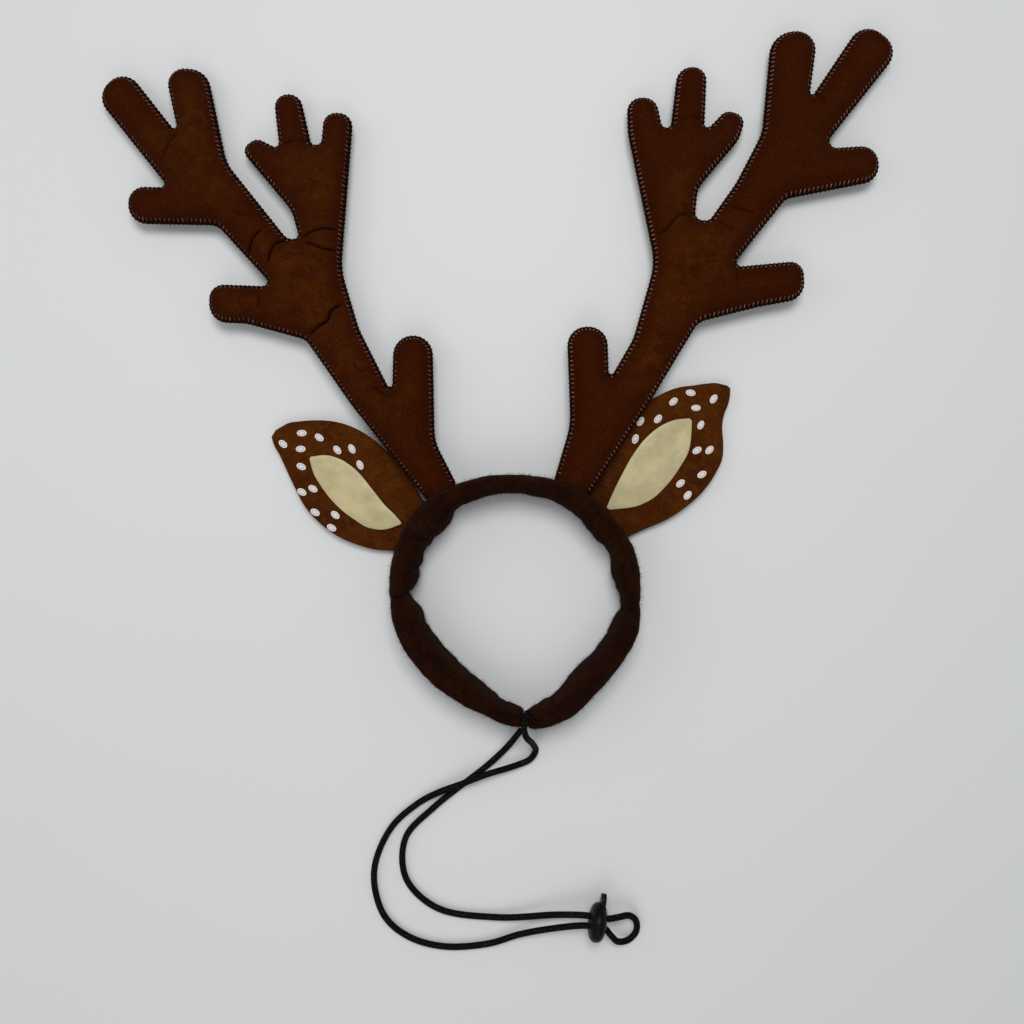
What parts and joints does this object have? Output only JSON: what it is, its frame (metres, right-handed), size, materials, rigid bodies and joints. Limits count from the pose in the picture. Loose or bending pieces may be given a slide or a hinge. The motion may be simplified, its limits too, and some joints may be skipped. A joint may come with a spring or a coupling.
{
  "type": "pet reindeer antler headband",
  "caption": "Padded cloth ring for a small pet's head, with stuffed felt reindeer antlers, felt ears and an elastic drawcord closed by a spring cord lock.",
  "frame": {"origin": "centre of the head opening, on the surface that the back of the headband lies on", "axes": "+X to the wearer's left, which is the right of the front view, +Y towards the antler tips, +Z out of the front of the headband"},
  "size_m": [0.3631, 0.4255, 0.0243],
  "materials": {
    "band_cloth": "dark brown short-pile cloth",
    "antler_felt": "mottled brown felt",
    "ear_felt": "tan felt with white spots",
    "patch_vinyl": "smooth cream imitation leather",
    "cord_braid": "black braided elastic",
    "lock_plastic": "satin black moulded plastic"
  },
  "bodies": {
    "headband": {"band": "band_cloth", "antler_left": "antler_felt", "antler_right": "antler_felt", "ear_left": "ear_felt", "ear_right": "ear_felt", "ear_patch_left": "patch_vinyl", "ear_patch_right": "patch_vinyl", "elastic_cord": "cord_braid", "lock_body": "lock_plastic"},
    "press_tab": {"lock_press_tab": "lock_plastic"}
  },
  "joints": [
    {"name": "press_slide", "type": "slide", "parent": "headband", "child": "press_tab", "axis": [-0.1564, -0.9877, 0], "range_m": [0, 0.0018], "stiffness_N_per_m": 800, "springref_m": -0.003}
  ]
}
